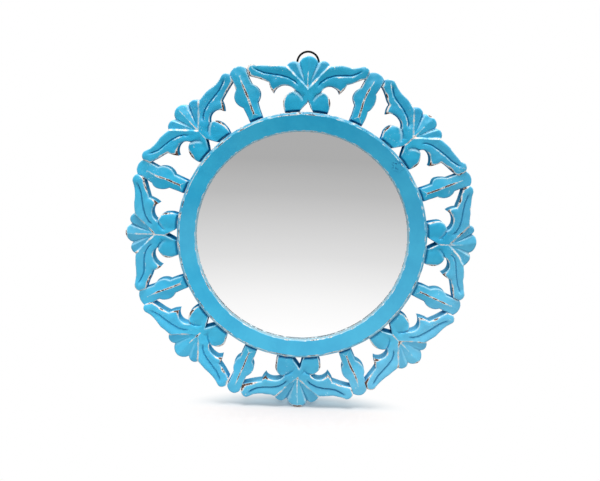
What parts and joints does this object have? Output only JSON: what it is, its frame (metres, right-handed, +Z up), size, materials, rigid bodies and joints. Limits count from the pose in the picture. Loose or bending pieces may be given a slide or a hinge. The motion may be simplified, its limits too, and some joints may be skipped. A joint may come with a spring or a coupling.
{
  "type": "wall mirror",
  "caption": "Round wall mirror in a carved wooden frame: openwork flowers and lobed bars dowelled to a segmented ring, glass in a rear rabbet, and a swinging wire loop to hang it by.",
  "frame": {"origin": "on the mirror's axis, in the wall plane, at the middle of the flush backing board", "axes": "+Z up through the hanging loop, +Y towards the wall, so the glass faces -Y"},
  "size_m": [0.4614, 0.0253, 0.4694],
  "materials": {
    "painted_wood": "worn turquoise paint",
    "bare_wood": "bare beech",
    "mirror": "silvered float glass",
    "card": "grey-brown card",
    "hardboard": "brown hardboard",
    "zinc_steel": "zinc plated",
    "black_steel": "black enamel"
  },
  "bodies": {
    "frame": {"ring_segment_1": "painted_wood", "ring_segment_2": "painted_wood", "ring_segment_3": "painted_wood", "ring_segment_4": "painted_wood", "ring_segment_5": "painted_wood", "ring_segment_6": "painted_wood", "ring_segment_7": "painted_wood", "ring_segment_8": "painted_wood", "flower_1": "painted_wood", "flower_2": "painted_wood", "flower_3": "painted_wood", "flower_4": "painted_wood", "flower_5": "painted_wood", "flower_6": "painted_wood", "flower_7": "painted_wood", "flower_8": "painted_wood", "leaf_bar_1": "painted_wood", "leaf_bar_2": "painted_wood", "leaf_bar_3": "painted_wood", "leaf_bar_4": "painted_wood", "leaf_bar_5": "painted_wood", "leaf_bar_6": "painted_wood", "leaf_bar_7": "painted_wood", "leaf_bar_8": "painted_wood", "ring_dowels": "bare_wood", "flower_dowels": "bare_wood", "bar_dowels": "bare_wood", "mirror_glass": "mirror", "backing_card": "card", "backing_board": "hardboard", "backing_screws": "zinc_steel", "hanger_strap": "black_steel", "hanger_screws": "zinc_steel"},
    "hanger_loop": {"hanger_ring": "black_steel"}
  },
  "joints": [
    {"name": "hanger_swing", "type": "hinge", "parent": "frame", "child": "hanger_loop", "pos_m": [0, 0.00238, 0.2165], "axis": [-1, 0, 0], "range_deg": [0, 175]}
  ]
}
